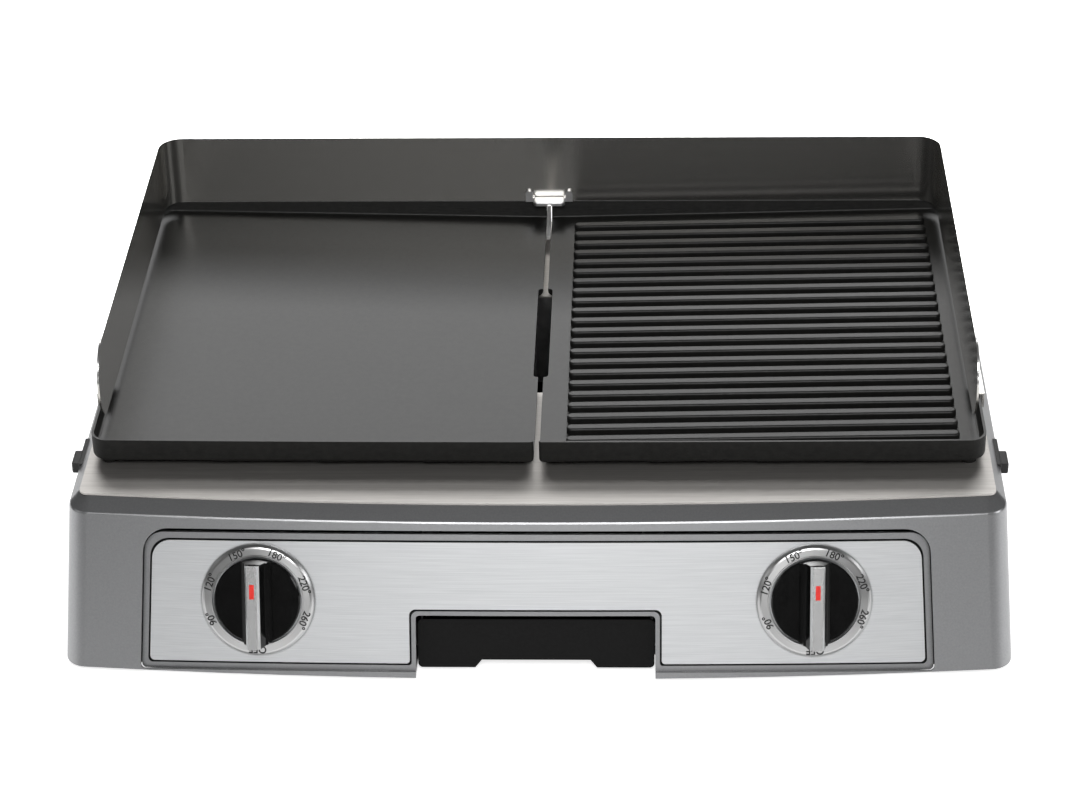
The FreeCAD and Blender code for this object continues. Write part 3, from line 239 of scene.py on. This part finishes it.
FINISHES = {
    "silver_paint": PAINT, "brushed_panel": PANEL, "deck_steel": DECK, "nonstick_cast": PLATE,
    "guard_coat": GUARD, "clip_steel": CLIP, "dial_chrome": CHROME, "bar_chrome": BAR, "knob_black": KNOB,
    "mark_red": RED, "button_black": BUTTON, "tray_black": TRAY, "inner_steel": ZINC,
    "element_steel": SHEATH, "pan_aluminium": PAN, "base_steel": BASE, "foot_rubber": RUBBER,
    "inner_plastic": MOULDING, "wire_sleeve": SLEEVE, "gland_black": GLAND,
}
for subpart in frame["record"]["subparts"]:
    mesh = NODES[subpart["node"]].data
    mesh.materials.clear()
    mesh.materials.append(FINISHES[subpart["material_slot"]])


# ---------------------------------------------------------------- dial markings
def dial_frame(side):
    """The dial's own axes: x to the right, y up the slope, z outward along the knob's axis."""
    hinge = joint("knob_%s_turn" % side)
    out = Vector(hinge["axis"]).normalized()
    up = (Vector((0, 0, 1)) - out * out.z).normalized()
    right = up.cross(out)
    turn = Matrix((right, up, out)).transposed()
    return Matrix.Translation(Vector(hinge["pos_m"])) @ turn.to_4x4()


DIAL_MARKS = {90: -113, 120: -70, 150: -23.5, 180: 23, 220: 70, 260: 112}
DIGIT_HEIGHT = 0.0046
DIGIT_RADIUS = 0.0298
BAND_TOP = 0.00085


def dial_text(side, words, angle):
    """One marking on a dial's band, tops outward, centred at an angle clockwise from the top."""
    curve = bpy.data.curves.new("dial_%s_%s" % (side, words), "FONT")
    curve.body = words
    curve.size = DIGIT_HEIGHT * 1.38
    curve.align_x = "CENTER"
    curve.align_y = "CENTER"
    curve.offset = 0.00012
    curve.extrude = 0.00002
    piece = bpy.data.objects.new("dial_marking_%s_%s" % (side, words.replace("°", "")), curve)
    bpy.context.collection.objects.link(piece)
    turn = Matrix.Rotation(math.radians(-angle), 4, "Z")
    piece.matrix_world = dial_frame(side) @ turn @ Matrix.Translation((0, DIGIT_RADIUS + 0.0011, BAND_TOP))
    curve.materials.append(INK)
    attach(piece, "griddle_body")
    return piece


for dial_side in SIDES:
    for degrees, place in DIAL_MARKS.items():
        dial_text(dial_side, "%d°" % degrees, place)
    dial_text(dial_side, "OFF", 180)


# ---------------------------------------------------------------- floor, light and camera
bpy.ops.mesh.primitive_plane_add(size=14, location=(0, 2, 0))
floor = bpy.context.object
floor.name = "studio_floor"
floor_material, floor_tree, floor_shader = new_material("floor_white")
floor_shader.inputs["Base Color"].default_value = (0.90, 0.90, 0.90, 1)
floor_shader.inputs["Roughness"].default_value = 0.8
floor_shader.inputs["Emission Color"].default_value = (1, 1, 1, 1)
floor_shader.inputs["Emission Strength"].default_value = 0.75
floor.data.materials.append(floor_material)


def softbox(name, azimuth, elevation, distance, width, height, power):
    """A rectangular light that faces the object. Azimuth 0 is in front and 90 to the right, in degrees."""
    lamp = bpy.data.lights.new(name, "AREA")
    lamp.shape = "RECTANGLE"
    lamp.size = width
    lamp.size_y = height
    lamp.energy = power
    light = bpy.data.objects.new(name, lamp)
    bpy.context.collection.objects.link(light)
    a, e = math.radians(azimuth), math.radians(elevation)
    aim = Vector((0, 0, 0.08))
    back = Vector((math.sin(a) * math.cos(e), -math.cos(a) * math.cos(e), math.sin(e)))
    light.location = aim + back * distance
    light.rotation_euler = (-back).to_track_quat("-Z", "Y").to_euler()
    return light


softbox("front_softbox", 0, 44, 2.6, 1.1, 0.8, 33)
softbox("low_softbox", 0, 14, 2.6, 1.2, 0.4, 4)
softbox("back_softbox", 180, 34, 2.4, 2.8, 0.9, 37)
softbox("high_softbox", 180, 58, 2.4, 2.4, 0.5, 7)
softbox("left_softbox", -70, 25, 2.4, 0.8, 0.8, 2)
softbox("right_softbox", 70, 25, 2.4, 0.8, 0.8, 10)

world = bpy.data.worlds.new("studio")
bpy.context.scene.world = world
world.use_nodes = True
sky = world.node_tree.nodes["Background"]
sky.inputs["Color"].default_value = (1, 1, 1, 1)
sky.inputs["Strength"].default_value = 0.07
# A pale backdrop above the floor's edge, seen directly but giving no light.
backdrop = add(world.node_tree, "ShaderNodeBackground", Color=(1, 1, 1, 1), Strength=0.92)
choose = add(world.node_tree, "ShaderNodeMixShader")
path = add(world.node_tree, "ShaderNodeLightPath")
world.node_tree.links.new(path.outputs["Is Camera Ray"], choose.inputs[0])
world.node_tree.links.new(sky.outputs["Background"], choose.inputs[1])
world.node_tree.links.new(backdrop.outputs["Background"], choose.inputs[2])
world.node_tree.links.new(choose.outputs["Shader"], world.node_tree.nodes["World Output"].inputs["Surface"])

# The camera's place and turn, fitted to the object's corners.
CAMERA_SPOT = Vector((0.06629, -1.67556, 1.12357))
YAW, PITCH, ROLL = (math.radians(a) for a in (-2.366, 32.0, -1.267))
ahead = Vector((math.sin(YAW) * math.cos(PITCH), math.cos(YAW) * math.cos(PITCH), -math.sin(PITCH)))
level = Vector((math.cos(YAW), -math.sin(YAW), 0))
upward = level.cross(ahead)
right_axis = level * math.cos(ROLL) + upward * math.sin(ROLL)
up_axis = upward * math.cos(ROLL) - level * math.sin(ROLL)
camera_data = bpy.data.cameras.new("camera")
camera_data.sensor_width = 36.0
camera_data.lens = 100.27
camera = bpy.data.objects.new("camera", camera_data)
bpy.context.collection.objects.link(camera)
camera_axes = Matrix((right_axis, up_axis, -ahead)).transposed().to_4x4()
camera.matrix_world = Matrix.Translation(CAMERA_SPOT) @ camera_axes
bpy.context.scene.camera = camera
bpy.context.scene.view_settings.view_transform = "Standard"
